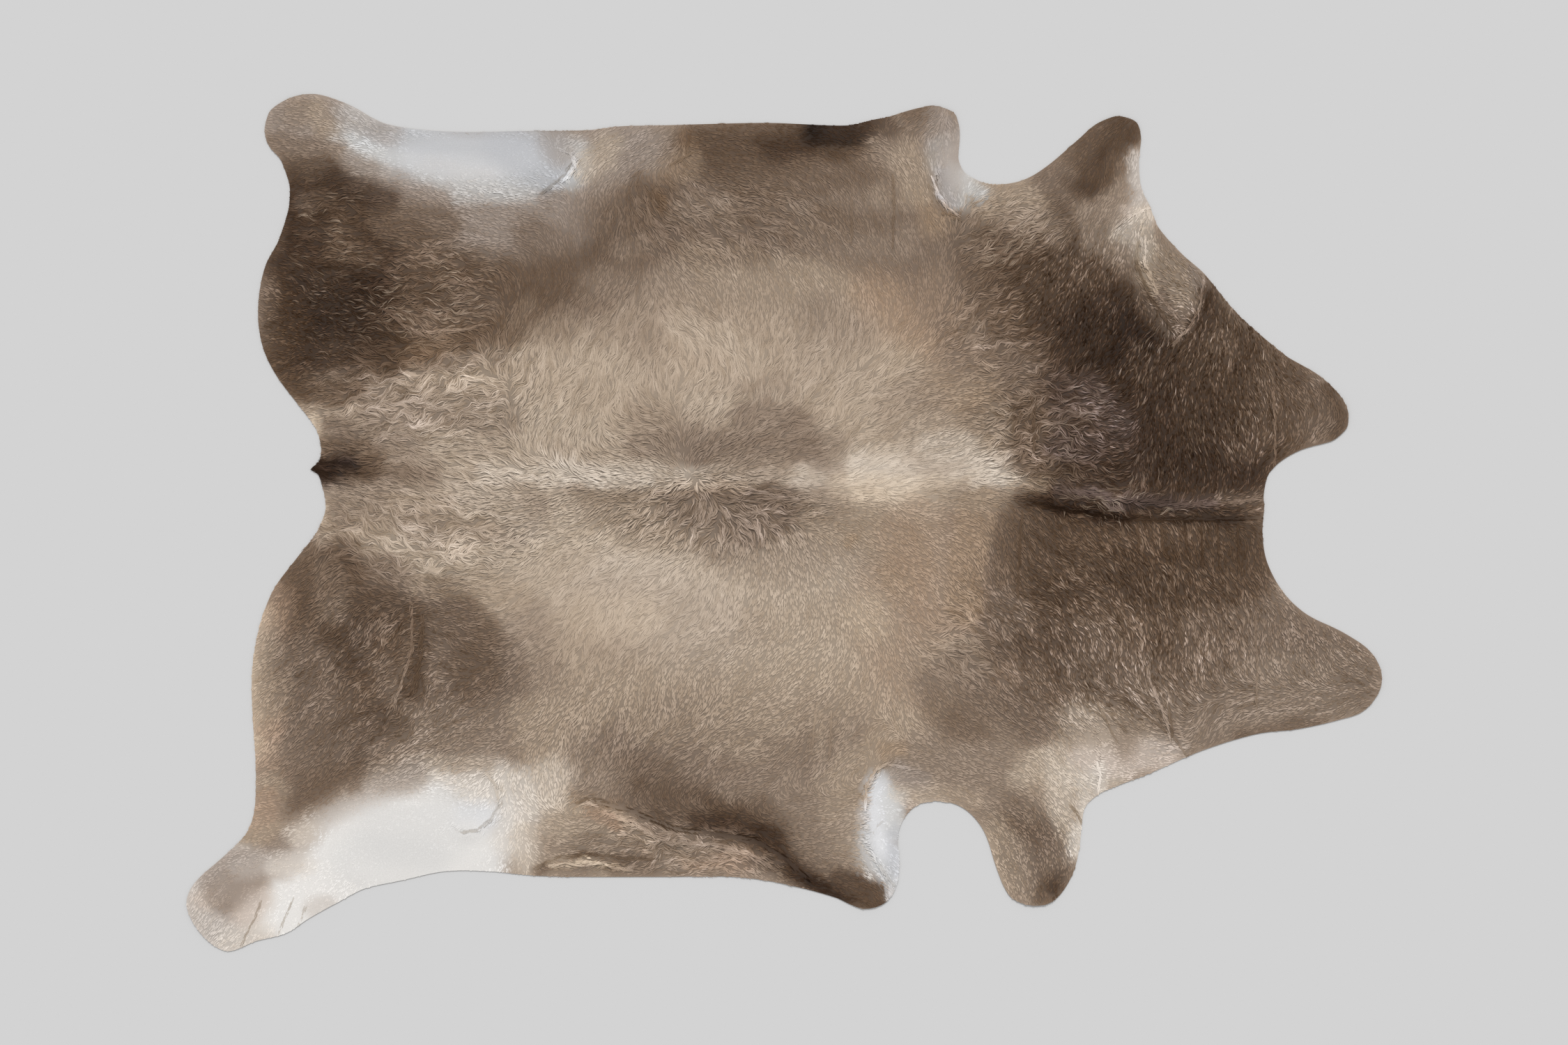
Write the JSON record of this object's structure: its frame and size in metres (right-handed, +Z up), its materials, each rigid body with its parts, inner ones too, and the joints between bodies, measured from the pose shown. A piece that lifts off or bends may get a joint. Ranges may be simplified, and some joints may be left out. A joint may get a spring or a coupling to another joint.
{
  "type": "cowhide",
  "caption": "Natural cowhide laid flat hair side up, cut to the whole outline of the skin with legs, neck and tail root, taupe back and white belly.",
  "frame": {"origin": "under the middle of the hide's outline, on the floor it lies on", "axes": "+X from the tail towards the neck, +Y across the back towards the hind leg with the shorter tip, +Z up out of the hair side"},
  "size_m": [2.2284, 1.5996, 0.0121],
  "materials": {
    "coat": "hair-on hide, soft natural sheen"
  },
  "bodies": {
    "root": {"hide": "coat"}
  },
  "joints": []
}
